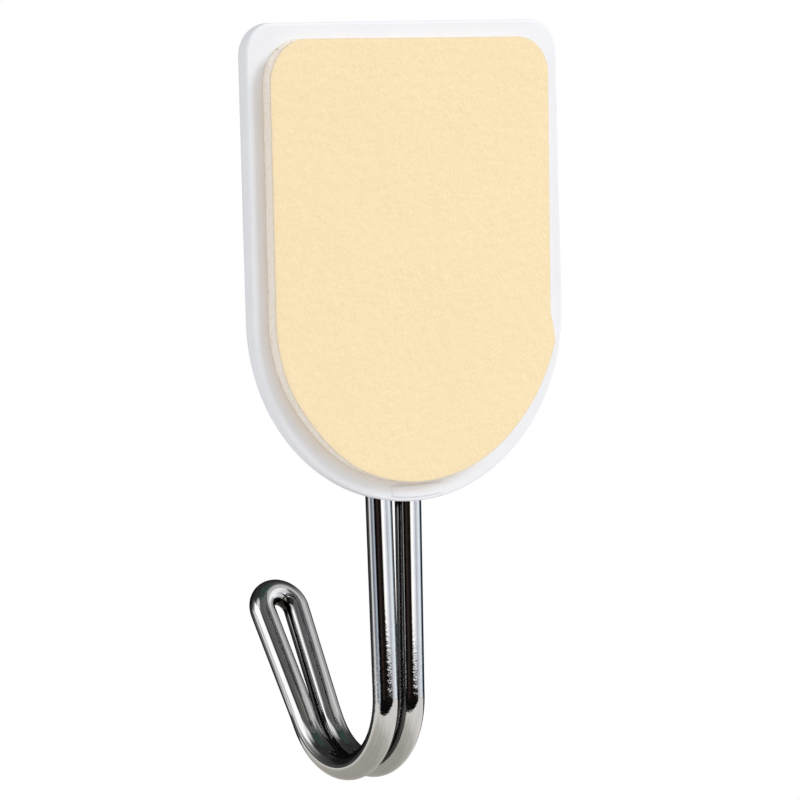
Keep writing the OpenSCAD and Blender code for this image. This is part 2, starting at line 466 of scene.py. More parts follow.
@dataclass(frozen=True)
class ChromePlate:
    """Bright chrome over drawn wire: faint draw lines and a fine orange-peel skin."""

    tint: Colour = (0.78, 0.78, 0.79)
    dull: Colour = (0.70, 0.70, 0.70)
    dull_amount: float = 0.6
    cloud: float = 1.2
    shine: Pair = (0.035, 0.09)
    shine_patch: float = 1.6
    line: float = 0.16
    line_deep: float = 0.005
    line_stretch: Triple = (1.0, 1.0, 0.04)
    peel: float = 0.45
    peel_deep: float = 0.015
    streak: Colour = (0.46, 0.455, 0.42)
    streak_amount: float = 0.24
    streak_from: Pair = (0.42, 0.68)
    worked_up: Pair = (-38.0, -46.0)
    worked_front: Pair = (-16.0, -9.0)
    worked_least: float = 0.12
    bottom_up: Pair = (-49.0, -53.0)
    bottom_least: float = 0.25
    loop_shade: Colour = (0.045, 0.040, 0.035)
    loop_shade_reach: Pair = (0.95, 1.35)
    loop_centre: Triple = (0.0, -30.61, -41.30)
    loop_axis: Triple = (0.0, -0.8545, -0.5195)

    def loop_shade_mask(self, bench: MaterialBench, place: Socket) -> Socket:
        """Finds the inside of the tight loop, which is painted dark as shade.

        Args:
            bench: the material's bench.
            place: the object's coordinates.

        Returns:
            The mask: whole at the loop's inner face, and gone half way round the wire.
        """
        arm = bench.vector("SUBTRACT", place, metres(*self.loop_centre))
        reach = bench.vector("LENGTH", bench.vector("CROSS_PRODUCT", arm, self.loop_axis))
        return bench.span_mm(reach, self.loop_shade_reach, (1.0, 0.0))

    def material(self) -> Paint:
        """Makes the material.

        Returns:
            The material. Its relief and streaks are strongest where the wire was bent.
        """
        bench = MaterialBench("chrome_plate")
        place = bench.place()
        lay = bench.add("ShaderNodeAttribute", attribute_name="wire_lay").outputs["Vector"]
        lines = bench.relief(bench.stretch(lay, self.line_stretch), self.line, detail=2.0)
        peel = bench.relief(place, self.peel)
        part = bench.split(place)
        worked = bench.product(
            bench.span_mm(part["Z"], self.worked_up, (self.worked_least, 1.0)),
            bench.span_mm(part["Y"], self.worked_front, (self.worked_least, 1.0)))
        rough = bench.product(worked, bench.span_mm(part["Z"], self.bottom_up, (1.0, self.bottom_least)))
        normal = bench.bump(bench.product(lines, rough), self.line_deep)
        normal = bench.bump(bench.product(peel, rough), self.peel_deep, normal)
        scored = bench.product(bench.span(lines, self.streak_from, (0.0, self.streak_amount)), worked)
        colour = bench.mottle(place, self.cloud, self.tint, self.dull, self.dull_amount)
        colour = bench.blend(scored, colour, self.streak)
        # painted shade: the inside of the tight loop is coloured dark
        colour = bench.blend(self.loop_shade_mask(bench, place), colour, self.loop_shade)
        gloss = bench.gloss(place, self.shine_patch, *self.shine)
        return bench.solid(Base_Color=colour, Metallic=1.0, Roughness=gloss, Normal=normal)


@dataclass(frozen=True)
class CellFoam:
    """Cream closed-cell foam: small cells that show at its cut edge."""

    pale: Colour = (0.995, 0.935, 0.85)
    deep: Colour = (0.965, 0.870, 0.750)
    deep_amount: float = 0.55
    cloud: float = 0.9
    cell: float = 0.24
    cell_deep: float = 0.024
    wall_from: Pair = (0.1, 0.75)
    wall_amount: float = 0.3
    dark_speck: Colour = (0.66, 0.54, 0.41)
    dark_speck_size: float = 0.26
    dark_speck_from: Pair = (0.50, 0.72)
    dark_speck_amount: float = 0.4
    grain: float = 0.12
    grain_deep: float = 0.012
    roughness: float = 0.85

    def material(self) -> Paint:
        """Makes the material.

        Returns:
            The material, with dark brown specks between its cells.
        """
        bench = MaterialBench("cell_foam")
        place = bench.place()
        inputs = {"Vector": place, "Scale": 1.0 / (self.cell * MM)}
        cells = bench.add("ShaderNodeTexVoronoi", inputs, feature="SMOOTH_F1").outputs["Distance"]
        speck_noise = bench.relief(place, self.dark_speck_size, detail=5.0)
        colour = bench.mottle(place, self.cloud, self.pale, self.deep, self.deep_amount)
        colour = bench.blend(bench.span(cells, self.wall_from, (0.0, self.wall_amount)), colour, self.deep)
        # darker brown specks in a noise pattern between the cells
        colour = bench.blend(bench.span(speck_noise, self.dark_speck_from, (0.0, self.dark_speck_amount)), colour, self.dark_speck)
        normal = bench.bump(cells, self.cell_deep)
        normal = bench.bump(bench.relief(place, self.grain, detail=4.0), self.grain_deep, normal)
        return bench.solid(Base_Color=colour, Roughness=self.roughness, Normal=normal)


@dataclass(frozen=True)
class LinerPaper:
    """Pale yellow release paper with fine fibres and a satin silicone coat."""

    pale: Colour = (0.985, 0.815, 0.525)
    deep: Colour = (0.915, 0.725, 0.425)
    edge: Colour = (0.86, 0.715, 0.50)
    fibre: float = 0.30
    fibre_amount: float = 0.55
    felt: float = 0.66
    felt_amount: float = 0.4
    broad: float = 14.0
    broad_amount: float = 0.25
    shine: Pair = (0.5, 0.66)
    shine_patch: float = 0.8
    grain: float = 0.28
    grain_deep: float = 0.075
    crease: float = 0.9
    crease_deep: float = 0.16
    along: Triple = (1.0, 1.0, 0.55)
    along_turn: float = 34.0
    across: Triple = (0.6, 1.0, 1.0)
    across_turn: float = 21.0

    def material(self) -> Paint:
        """Makes the material.

        Returns:
            The material, with its fibres lying two ways and its cut edge a little greyer.
        """
        bench = MaterialBench("liner_paper")
        place = bench.place()
        along = bench.stretch(place, self.along, self.along_turn)
        across = bench.stretch(place, self.across, self.across_turn)
        colour = bench.mottle(along, self.fibre, self.pale, self.deep, self.fibre_amount)
        colour = bench.blend(bench.patches(across, self.felt, self.felt_amount), colour, self.deep)
        colour = bench.blend(bench.patches(place, self.broad, self.broad_amount), colour, self.deep)
        # the liner is coloured darker and greyer towards its edge
        cut = bench.add("ShaderNodeAttribute", attribute_name="cut_edge").outputs["Fac"]
        colour = bench.blend(cut, colour, self.edge)
        normal = bench.bump(bench.relief(across, self.crease), self.crease_deep)
        normal = bench.bump(bench.relief(along, self.grain, detail=4.0), self.grain_deep, normal)
        gloss = bench.gloss(along, self.shine_patch, *self.shine)
        return bench.solid(Base_Color=colour, Roughness=gloss, Normal=normal)


@dataclass(frozen=True)
class TackyFilm:
    """Acrylic adhesive film: pale, a little yellow and slightly wet to look at."""

    pale: Colour = (0.87, 0.82, 0.71)
    deep: Colour = (0.79, 0.73, 0.61)
    deep_amount: float = 0.7
    cloud: float = 1.4
    shine: Pair = (0.2, 0.42)
    shine_patch: float = 1.0
    skin: float = 0.6
    skin_deep: float = 0.012
    coat: float = 0.25
    coat_roughness: float = 0.15

    def material(self) -> Paint:
        """Makes the material.

        Returns:
            The material.
        """
        bench = MaterialBench("tacky_film")
        place = bench.place()
        colour = bench.mottle(place, self.cloud, self.pale, self.deep, self.deep_amount)
        gloss = bench.gloss(place, self.shine_patch, *self.shine)
        normal = bench.bump(bench.relief(place, self.skin), self.skin_deep)
        return bench.solid(Base_Color=colour, Roughness=gloss, Normal=normal, Coat_Weight=self.coat,
                           Coat_Roughness=self.coat_roughness)


def at_depth(x: float, up: float, depth: float) -> Vector:
    """Places a point, in metres, by its height above the round end's centre and its depth from the wall."""
    return Vector((x, -depth, up + ROUND_END_UP)) * MM


def at_back(x: float, up: float, depth: float) -> Vector:
    """Places a point, in metres, by its depth from the back of the base."""
    return at_depth(x, up, BASE_BACK + depth)


def arc_steps(count: int) -> list[float]:
    """Returns angles in radians from 0 to a right angle, in equal steps."""
    return [math.pi / 2 * i / count for i in range(count + 1)]


def arc(middle: Pair, r: float, start: float, sweep: float, count: int) -> Outline:
    """Traces an arc anticlockwise, without its last point.

    Args:
        middle: its centre.
        r: its radius.
        start: the angle at which it starts.
        sweep: the angle that it runs through.
        count: the number of points.

    Returns:
        The points.
    """
    turns = [math.radians(start + sweep * i / count) for i in range(count)]
    return [(middle[0] + r * math.cos(a), middle[1] + r * math.sin(a)) for a in turns]


def run(start: Pair, end: Pair, count: int) -> Outline:
    """Traces a straight line by a number of points, without its last one."""
    (x, y), (to_x, to_y) = start, end
    return [(x + (to_x - x) * i / count, y + (to_y - y) * i / count) for i in range(count)]


def shield(half: float, top: float, corner: float, fine: int = 1,
           left_corner: float | None = None) -> Outline:
    """Traces a shield with a round lower end about the origin, anticlockwise from its left side.

    Args:
        half: half the width, which is the radius of the round end.
        top: height of the straight top edge.
        corner: radius of the top corners.
        fine: multiplies the number of points.
        left_corner: radius of the top corner at the left, where it differs.

    Returns:
        The outline's points.
    """
    left = corner if left_corner is None else left_corner
    right_x, left_x = half - corner, left - half
    return [
        *arc((0.0, 0.0), half, 180, 180, 72 * fine),
        *run((half, 0.0), (half, top - corner), 14 * fine),
        *arc((right_x, top - corner), corner, 0, 90, 10 * fine),
        *run((right_x, top), (left_x, top), 16 * fine),
        *arc((left_x, top - left), left, 90, 90, 10 * fine),
        *run((-half, top - left), (-half, 0.0), 14 * fine),
    ]


def shell(rings: list[Ring]) -> Skin:
    """Joins rings of equal length into a closed skin with a flat face at each end.

    Args:
        rings: the rings in order, from the first end to the last.

    Returns:
        The skin, with its faces pointing outwards.
    """
    skin = bmesh.new()
    rows = [[skin.verts.new(point) for point in ring] for ring in rings]
    count = len(rows[0])
    for lower, upper in zip(rows, rows[1:]):
        for i in range(count):
            j = (i + 1) % count
            skin.faces.new((lower[i], lower[j], upper[j], upper[i]))
    skin.faces.new(list(reversed(rows[0])))
    skin.faces.new(rows[-1])
    bmesh.ops.recalc_face_normals(skin, faces=skin.faces)
    return skin


def box(low: Triple, high: Triple) -> Skin:
    """Makes a cutting box between two corners, each given by its x, height and depth from the base's back."""
    corners = ((low[0], low[1]), (high[0], low[1]), (high[0], high[1]), (low[0], high[1]))
    return shell([[at_back(x, up, depth) for x, up in corners] for depth in (low[2], high[2])])


def link(name: str, data: bpy.types.ID) -> Piece:
    """Adds an object to the scene.

    Args:
        name: the object's name.
        data: its mesh, curve, lamp or camera.

    Returns:
        The object, at the origin.
    """
    obj = bpy.data.objects.new(name, data)
    bpy.context.scene.collection.objects.link(obj)
    return obj


def as_object(name: str, skin: Skin, finish: Paint | None = None) -> Piece:
    """Turns a skin into an object of the scene.

    Args:
        name: the object's name.
        skin: the skin, which is used up.
        finish: its material.

    Returns:
        The object, at the origin.
    """
    mesh = bpy.data.meshes.new(name)
    skin.to_mesh(mesh)
    skin.free()
    if finish is not None:
        mesh.materials.append(finish)
    return link(name, mesh)


def final_mesh(obj: Piece) -> bpy.types.Mesh:
    """Makes the mesh that an object's modifiers leave.

    Args:
        obj: the object.

    Returns:
        The new mesh, with all its attributes.
    """
    graph = bpy.context.evaluated_depsgraph_get()
    graph.update()
    whole = obj.evaluated_get(graph)
    return bpy.data.meshes.new_from_object(whole, preserve_all_data_layers=True, depsgraph=graph)


def settle(obj: Piece) -> Piece:
    """Applies all modifiers of an object to its mesh.

    Args:
        obj: the object.

    Returns:
        The same object with a plain mesh.
    """
    mesh = final_mesh(obj)
    obj.modifiers.clear()
    obj.data = mesh
    return obj


def smooth(obj: Piece, angle: float) -> Piece:
    """Shades an object smooth, keeps its flat faces flat and its sharp edges sharp.

    Args:
        obj: the object.
        angle: edges sharper than this stay sharp.

    Returns:
        The same object.
    """
    obj.data.shade_smooth()
    obj.data.set_sharp_from_angle(angle=math.radians(angle))
    weigh = obj.modifiers.new("even_normals", "WEIGHTED_NORMAL")
    weigh.keep_sharp = True
    return settle(obj)


@dataclass
class MouldedBase:
    """The white base: plate, raised field, and hood with the pivots of the wire."""

    half: float = 21.0
    top: float = 32.6
    corner: float = 3.6
    thick: float = 2.2
    back_round: float = 0.35
    front_round: float = 0.9
    field_inset: float = 4.0
    field_corner: float = 2.6
    field_front: float = 2.9
    field_round: float = 0.4
    field_foot: float = 0.25
    hood_half: float = 10.1
    hood_low: float = -16.0
    hood_high: float = 8.0
    hood_corner: float = 3.2
    hood_front: float = 7.91
    hood_round: float = 2.2
    hood_wall: float = 1.7
    slot_half: float = 4.731
    slot_top: float = -9.2
    window_low: float = -15.0
    window_past: float = 0.5
    hollow_low: float = -7.6
    bore_r: float = 1.56
    bore_half: float = 8.381
    entry_w: float = 2.7
    cut_past: float = 1.0
    gate_half: float = 3.4
    gate_high: float = 0.2
    gate_inset: float = 0.1
    gate_top: float = -19.1
    gate_slope: float = 1.6
    gate_margin: Pair = (0.5, 0.1)
    weld: float = 0.002
    sliver: float = 0.001
    sharp_angle: float = 38.0
    edge_break: float = 0.14
    finish: MouldedWhite = MouldedWhite()

    def ring(self, inset: float, depth: float, corner: float) -> Ring:
        """Returns the plate's outline at an inset and a depth, with corners that the inset makes smaller."""
        outline = shield(self.half - inset, self.top - inset, max(corner - inset, LEAST_CORNER))
        return [at_back(x, up, depth) for x, up in outline]

    def plate_ring(self, inset: float, depth: float) -> Ring:
        """Returns the plate's own outline at an inset and a depth."""
        return self.ring(inset, depth, self.corner)

    def field_ring(self, inset: float, depth: float) -> Ring:
        """Returns the raised field's outline at an inset and a depth."""
        return self.ring(inset + self.field_inset, depth, self.field_corner + self.field_inset)

    def plate(self) -> Skin:
        """Builds the plate with its rounded rim and raised field.

        Returns:
            The plate.
        """
        r, f, foot, edge = self.back_round, self.front_round, self.field_foot, self.field_round
        wall, rise = self.thick - f, self.field_front - edge
        rings = [self.plate_ring(r - r * math.sin(a), r - r * math.cos(a)) for a in arc_steps(6)]
        rings += [self.plate_ring(f - f * math.cos(a), wall + f * math.sin(a)) for a in arc_steps(9)]
        rings += [self.field_ring(foot * math.sin(a) - foot, self.thick + foot - foot * math.cos(a))
                  for a in arc_steps(4)]
        rings += [self.field_ring(edge - edge * math.cos(a), rise + edge * math.sin(a)) for a in arc_steps(5)]
        return shell(rings)

    def hood_ring(self, inset: float, depth: float) -> Ring:
        """Traces the hood's outline, an upturned shield.

        Args:
            inset: distance inside the outline.
            depth: depth from the plate's back.

        Returns:
            The ring's points.
        """
        centre = self.hood_high - self.hood_half
        corner = max(self.hood_corner - inset, LEAST_CORNER)
        outline = shield(self.hood_half - inset, centre - self.hood_low - inset, corner)
        return [at_back(-x, centre - y, depth) for x, y in outline]

    def hood(self) -> Skin:
        """Builds the hood as a solid block with a rounded front edge.

        Returns:
            The hood.
        """
        r = self.hood_round
        rings = [self.hood_ring(0.0, self.thick / 2)]
        rings += [self.hood_ring(r - r * math.cos(a), self.hood_front - r + r * math.sin(a))
                  for a in arc_steps(12)]
        return shell(rings)

    def hollow(self) -> Skin:
        """Builds the cutter for the hollow in the upper hood.

        Returns:
            The cutter.
        """
        half, centre = self.hood_half - self.hood_wall, self.hood_high - self.hood_half
        outline = [(-half, self.hollow_low), (half, self.hollow_low)]
        outline += [*arc((0.0, centre), half, 0, 180, 40), (-half, centre)]
        depths = (-self.cut_past, self.hood_front - self.hood_wall)
        return shell([[at_back(x, up, depth) for x, up in outline] for depth in depths])

    def bore(self) -> Skin:
        """Builds the cutter for the two pivot holes."""
        circle = arc((PIVOT_UP, PIVOT_FRONT), self.bore_r, 0, 360, 48)
        return shell([[at_back(x, *point) for point in circle] for x in (-self.bore_half, self.bore_half)])

    def cutters(self) -> list[Skin]:
        """Builds everything that is cut from the moulding.

        Returns:
            The window in the plate, the slot, the pivot holes, their entry and the hollow.
        """
        s, b, e, past = self.slot_half, self.bore_half, self.entry_w / 2, self.cut_past
        return [
            box((-s, self.window_low, -past), (s, self.slot_top, self.field_front + self.window_past)),
            box((-s, self.hood_low - past, self.field_front), (s, self.slot_top, self.hood_front + past)),
            self.bore(),
            box((-b, PIVOT_UP - e, -past), (b, PIVOT_UP + e, PIVOT_FRONT)),
            self.hollow(),
        ]

    def gate_land(self) -> Skin:
        """Builds the low land on the back, below the pad, where the moulding was gated.

        Returns:
            The land, with its ends and its top edge rounded over.
        """
        reach, high, fine = self.half - self.back_round - self.gate_inset, self.gate_high, 12
        rounds = [(high * (1 - math.cos(a)), -high * math.sin(a)) for a in arc_steps(6)]
        rings = []
        for inset, depth in [(0.0, self.thick / 2), *rounds]:
            half, r = self.gate_half - self.gate_slope * inset, reach - inset
            across = [half - 2 * half * i / fine for i in range(fine + 1)]
            outline = [(x, -math.sqrt(r * r - x * x)) for x in across]
            outline += [(-x, self.gate_top - inset) for x in across]
            rings.append([at_back(x, up, depth) for x, up in outline])
        return shell(rings)

    def break_edges(self, obj: Piece) -> None:
        """Marks the moulding's sharp edges, but for the gate's, so that they get a small rounding.

        Args:
            obj: the moulding after all cuts.
        """
        skin = bmesh.new()
        skin.from_mesh(obj.data)
        bmesh.ops.remove_doubles(skin, verts=skin.verts, dist=self.weld * MM)
        bmesh.ops.dissolve_degenerate(skin, edges=skin.edges, dist=self.sliver * MM)
        weight = skin.edges.layers.float.new("bevel_weight_edge")
        gate = at_back(0.0, self.gate_top + self.gate_margin[0], self.gate_margin[1])
        for edge in skin.edges:
            middle = (edge.verts[0].co + edge.verts[1].co) / 2
            at_gate = middle.z < gate.z and middle.y > gate.y
            sharp = len(edge.link_faces) == 2 and edge.calc_face_angle(0.0) > math.radians(self.sharp_angle)
            edge[weight] = 1.0 if sharp and not at_gate else 0.0
        skin.to_mesh(obj.data)
        skin.free()

    def build(self) -> Piece:
        """Builds and dresses the base.

        Returns:
            The base, riding on its body.
        """
        obj = as_object("moulded_base", self.plate(), self.finish.material())
        added = [self.hood(), self.gate_land()]
        tools = [as_object(f"tool_{i}", skin) for i, skin in enumerate([*added, *self.cutters()])]
        for i, tool in enumerate(tools):
            step = obj.modifiers.new(f"step_{i}", "BOOLEAN")
            step.operation = "UNION" if i < len(added) else "DIFFERENCE"
            step.solver = "EXACT"
            step.object = tool
        settle(obj)
        for tool in tools:
            bpy.data.objects.remove(tool)
        self.break_edges(obj)
        soften = obj.modifiers.new("edge_break", "BEVEL")
        soften.limit_method = "WEIGHT"
        soften.width = self.edge_break * MM
        soften.segments = 2
        soften.use_clamp_overlap = True
        smooth(settle(obj), angle=50)
        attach(obj, Body.BASE.value)
        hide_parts("base_plate")
        return obj


@dataclass
class BentWire:
    """The doubled wire hook, walked along as a bender makes it and swept by geometry nodes."""

    wire_r: float = 1.51
    leg_x: float = 1.75
    stem_drop: float = 32.25
    stem_spread: float = 0.65
    elbow_r: float = 2.4
    arm_len: float = 3.6
    bend_r: float = 9.0
    bend_angle: float = 148.7
    tip_len: float = 12.7
    tip_spread: float = 2.4
    set_r: float = 30.0
    set_lead: float = 0.5
    run_step: float = 1.2
    bend_step: float = 0.28
    sides: int = 40
    end_round: float = 0.3
    finish: ChromePlate = ChromePlate()

    def walk(self, start: Matrix, steps: list[tuple[float, float, float, float]]) -> Ring:
        """Follows the wire through a bender's steps.

        Args:
            start: where the wire starts, heading along its own Z.
            steps: straight feed, turn about the wire, bend angle and bend radius.

        Returns:
            Points along the middle of the wire.
        """
        place = start.copy()
        points = [place.translation.copy()]
        for feed, turn, angle, radius in steps:
            runs = max(1, round(feed / self.run_step)) if feed > 0 else 0
            points += [place @ Vector((0, 0, feed * (i + 1) / runs)) for i in range(runs)]
            place = place @ Matrix.Translation((0, 0, feed)) @ Matrix.Rotation(math.radians(turn), 4, "Z")
            sweep = math.radians(angle)
            count = max(2, round(radius * sweep / self.bend_step)) if angle > 0 else 0
            for i in range(1, count + 1):
                a = sweep * i / count
                points.append(place @ Vector((radius - radius * math.cos(a), 0, radius * math.sin(a))))
            swing = Matrix.Rotation(sweep, 4, "Y")
            place = place @ Matrix.Translation((radius, 0, 0)) @ swing @ Matrix.Translation((-radius, 0, 0))
        return points

    def half_path(self) -> Ring:
        """Walks the wire's right half.

        Returns:
            Its points from the pivot arm to the top of the loop, seen from the pivot.
        """
        s, t = math.radians(self.stem_spread), math.radians(self.tip_spread)
        rise = self.stem_drop - self.set_lead - self.set_r * math.sin(s) - self.elbow_r * (1 - math.sin(s))
        loop_x = self.leg_x + self.set_r * (1 - math.cos(t)) + self.tip_len * math.sin(t)
        low = Matrix.Translation((self.leg_x, 0, -self.stem_drop))
        stem = self.walk(low, [
            (self.set_lead, 0, self.stem_spread, self.set_r),
            (rise / math.cos(s), 0, 90 - self.stem_spread, self.elbow_r),
            (self.arm_len, 0, 0, 0),
        ])
        hook = self.walk(low @ Matrix.Rotation(math.pi, 4, "Y"), [
            (0, -90, self.bend_angle, self.bend_r),
            (self.set_lead, -90, self.tip_spread, self.set_r),
            (self.tip_len, 180, 90 + self.tip_spread, loop_x / math.cos(t)),
        ])
        return stem[::-1] + hook[1:]

    def path(self) -> Piece:
        """Builds the whole wire's path.

        Returns:
            The path as a curve, narrower at its two cut ends.
        """
        right = self.half_path()
        left = [Vector((-p.x, p.y, p.z)) for p in reversed(right[:-1])]
        pivot = at_back(0.0, PIVOT_UP, PIVOT_FRONT)
        points = [pivot + p * MM for p in right + left]
        radii = [1.0] * len(points)
        for end, inner, before in ((0, 1, 1), (-1, -2, -1)):
            lead = (points[inner] - points[end]).normalized() * self.end_round * MM
            points.insert(before, points[end] + lead)
            radii.insert(before, 1.0)
            radii[end] = 1 - self.end_round / self.wire_r
        curve = bpy.data.curves.new("bent_wire_path", "CURVE")
        curve.dimensions = "3D"
        spline = curve.splines.new("POLY")
        spline.points.add(len(points) - 1)
        for dot, point, radius in zip(spline.points, points, radii):
            dot.co = (*point, 1.0)
            dot.radius = radius
        return link("bent_wire_path", curve)

    def capture(self, bench: NodeBench, curve: Socket, label: str, value: Socket) -> Outputs:
        """Keeps a value on a curve's points.

        Args:
            bench: the tree's bench.
            curve: the curve.
            label: the value's name.
            value: the value, a number or a vector.

        Returns:
            The curve as Geometry, and the kept value by its name.
        """
        node = bench.add("GeometryNodeCaptureAttribute", {"Geometry": curve})
        node.capture_items.new("VECTOR" if value.type == "VECTOR" else "FLOAT", label)
        bench.fill(node.inputs[label], value)
        return node.outputs

    def sweep_tree(self) -> bpy.types.NodeTree:
        """Builds the node tree that sweeps a round section along the path.

        Returns:
            The tree. It stores on each point how far round and how far along the wire that point is.
        """
        bench, given, out = open_group(
            "wire_sweep", "GeometryNodeTree",
            {"Path": "Geometry", "Wire Radius": "Float", "Sides": "Int", "Finish": "Material"},
            {"Wire": "Geometry"})
        size = {"Resolution": given["Sides"], "Radius": given["Wire Radius"]}
        circle = bench.add("GeometryNodeCurvePrimitiveCircle", size).outputs["Curve"]
        position = bench.add("GeometryNodeInputPosition").outputs[0]
        length = bench.add("GeometryNodeSplineParameter").outputs["Length"]
        section = self.capture(bench, circle, "round", position)
        route = self.capture(bench, given["Path"], "along", length)
        sweep = bench.add("GeometryNodeCurveToMesh", {
            "Curve": route["Geometry"], "Profile Curve": section["Geometry"],
            "Scale": bench.add("GeometryNodeInputRadius").outputs[0], "Fill Caps": True})
        part = bench.split(section["round"])
        lay = bench.add("ShaderNodeCombineXYZ", {"X": part["X"], "Y": part["Y"], "Z": route["along"]})
        store = bench.add(
            "GeometryNodeStoreNamedAttribute",
            {"Geometry": sweep.outputs[0], "Name": "wire_lay", "Value": lay.outputs[0]},
            data_type="FLOAT_VECTOR", domain="POINT")
        whole = bench.add("GeometryNodeRealizeInstances", {"Geometry": store.outputs[0]})
        dressed = {"Geometry": whole.outputs[0], "Material": given["Finish"]}
        bench.fill(out["Wire"], bench.add("GeometryNodeSetMaterial", dressed).outputs[0])
        return bench.tree

    def build(self) -> Piece:
        """Builds and dresses the wire.

        Returns:
            The wire, riding on its body.
        """
        path = self.path()
        sweep = path.modifiers.new("wire_sweep", "NODES")
        sweep.node_group = self.sweep_tree()
        sizes = {"Wire Radius": self.wire_r * MM, "Sides": self.sides, "Finish": self.finish.material()}
        for item in sweep.node_group.interface.items_tree:
            if item.name in sizes:
                sweep[item.identifier] = sizes[item.name]
        mesh = final_mesh(path)
        bpy.data.objects.remove(path)
        skin = bmesh.new()
        skin.from_mesh(mesh)
        bmesh.ops.recalc_face_normals(skin, faces=skin.faces)
        skin.to_mesh(mesh)
        skin.free()
        mesh.name = "bent_wire"
        mesh.shade_smooth()
        mesh.set_sharp_from_angle(angle=math.radians(40))
        obj = link("bent_wire", mesh)
        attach(obj, Body.HOOK.value)
        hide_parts("wire_hook")
        return obj


@dataclass
class FoamPad:
    """The die-cut pad on the back: foam, two adhesive films and the release liner."""

    half: float = 18.8
    top: float = 30.63
    corner: float = 4.9
    left_corner: float = 4.2
    turn: float = 0.3
    lift: float = 0.1
    fine: int = 4
    liner_t: float = 0.12
    film_t: float = 0.1
    foam_t: float = 1.4
    edge_fall: float = 0.05
    fall_width: float = 0.7
    cut_width: float = 0.26
    sheet_insets: tuple[float, ...] = (1.0, 0.7, 0.5, 0.32, 0.24, 0.16, 0.08, 0.02)
    foam_wall_insets: tuple[float, ...] = (1.0, 0.6, 0.3, 0.1)
    foam_base_insets: tuple[float, ...] = (0.15, 0.6, 1.0)
    foam_rings: int = 14
    pinch: float = 0.07
    burr: float = 0.10
    burr_least: float = 0.6
    burr_waves: tuple[Pair, ...] = ((0.9, 0.5), (3.1, 0.8), (6.7, 0.5))
    waist: float = 0.38
    flare: float = 0.60
    flare_fade: float = 1.6
    flare_from: float = 2.0
    flare_at: float = 12.0
    flare_to: float = 48.0
    dent: float = 0.27
    dent_at: float = 139.0
    dent_width: float = 24.0
    foam: CellFoam = CellFoam()
    paper: LinerPaper = LinerPaper()
    film: TackyFilm = TackyFilm()

    def wander(self, x: float, up: float) -> float:
        """Says how far the die-cut edge lies outside an even shield.

        Args:
            x: distance to the right on the pad.
            up: height above the centre of its round end.

        Returns:
            The distance outwards: the left flank runs in, flares at the round end, and the far side is flat.
        """
        if up >= 0:
            return -self.waist * (1 - up / self.top) if x < 0 else 0.0
        angle = math.degrees(math.atan2(-up, -x))
        if angle < self.flare_at:
            ramp = max(0.0, (angle - self.flare_from) / (self.flare_at - self.flare_from))
            return (self.waist + self.flare) * ramp - self.waist
        fade = max(0.0, (self.flare_to - angle) / (self.flare_to - self.flare_at))
        flat = max(0.0, 1 - abs(angle - self.dent_at) / self.dent_width)
        return self.flare * fade ** self.flare_fade - self.dent * flat * flat * (3 - 2 * flat)

    def outline(self, inset: float) -> Outline:
        """Traces the pad's edge as the die left it.

        Args:
            inset: how far inside the edge the trace runs.

        Returns:
            The outline in the base's frame.
        """
        c, s = math.cos(math.radians(self.turn)), math.sin(math.radians(self.turn))
        even = shield(self.half - inset, self.top - inset, self.corner - inset, self.fine,
                      self.left_corner - inset)
        points: Outline = []
        for x, y in even:
            off = self.wander(x, y)
            reach = self.half if y >= 0 else math.hypot(x, y)
            x, y = x + off * x / reach, y + (off * y / reach if y < 0 else 0.0)
            points.append((x * c - y * s + PAD_SHIFT, x * s + y * c + self.lift))
        return points

    def fall(self, inset: float) -> float:
        """Returns how far the pad's wall side drops near its pressed edge."""
        k = min(1.0, inset / self.fall_width)
        return self.edge_fall * (1 - k) * (1 - k)

    def ring(self, inset: float, depth: float, rough: float = 0.0) -> Ring:
        """Traces one ring of the pad.

        Args:
            inset: distance inside the edge.
            depth: distance from the wall plane.
            rough: how far the cut edge wanders.

        Returns:
            The ring's points in metres.
        """
        ring = []
        for x, up in self.outline(inset):
            if rough > 0:
                at = Vector((x, depth, up))
                wave = sum(height * noise.noise(at * pitch) for pitch, height in self.burr_waves)
                shrink = 1 - rough * (self.burr_least + wave) / self.half
                x, up = x * shrink, up * shrink
            ring.append(at_depth(x, up, depth))
        return ring

    def layer(self, name: str, depth: float, thick: float, fall: float, finish: Paint, body: Body,
              node: str) -> Piece:
        """Builds one thin layer of the pad.

        Args:
            name: the piece's name.
            depth: distance of its wall side from the wall plane.
            thick: its thickness.
            fall: how much of the edge's fall it follows.
            finish: its material.
            body: the body it rides on.
            node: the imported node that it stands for.

        Returns:
            The layer. It stores on each point how near the cut edge that point is.
        """
        insets = self.sheet_insets
        rings = [self.ring(i, depth + fall * self.fall(i)) for i in insets]
        rings += [self.ring(i, depth + thick + fall * self.fall(i)) for i in reversed(insets)]
        obj = as_object(name, shell(rings), finish)
        edge_nearness = [max(0.0, 1 - i / self.cut_width) for i in (*insets, *reversed(insets)) for _ in rings[0]]
        obj.data.attributes.new("cut_edge", "FLOAT", "POINT").data.foreach_set("value", edge_nearness)
        smooth(obj, angle=40)
        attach(obj, body.value)
        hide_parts(node)
        return obj

    def core(self) -> Piece:
        """Builds the foam, with a cut edge that is pinched in and uneven.

        Returns:
            The foam, riding on the base.
        """
        near, drop = self.liner_t + self.film_t, self.fall(0.0)
        rings = [self.ring(i, near + self.fall(i)) for i in self.foam_wall_insets]
        for k in range(self.foam_rings + 1):
            t = k / self.foam_rings
            depth = near + drop + (self.foam_t - drop) * t
            rings.append(self.ring(self.pinch * math.sin(math.pi * t), depth, self.burr))
        rings += [self.ring(i, near + self.foam_t) for i in self.foam_base_insets]
        obj = smooth(as_object("foam_pad", shell(rings), self.foam.material()), angle=60)
        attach(obj, Body.BASE.value)
        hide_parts("foam_core")
        return obj

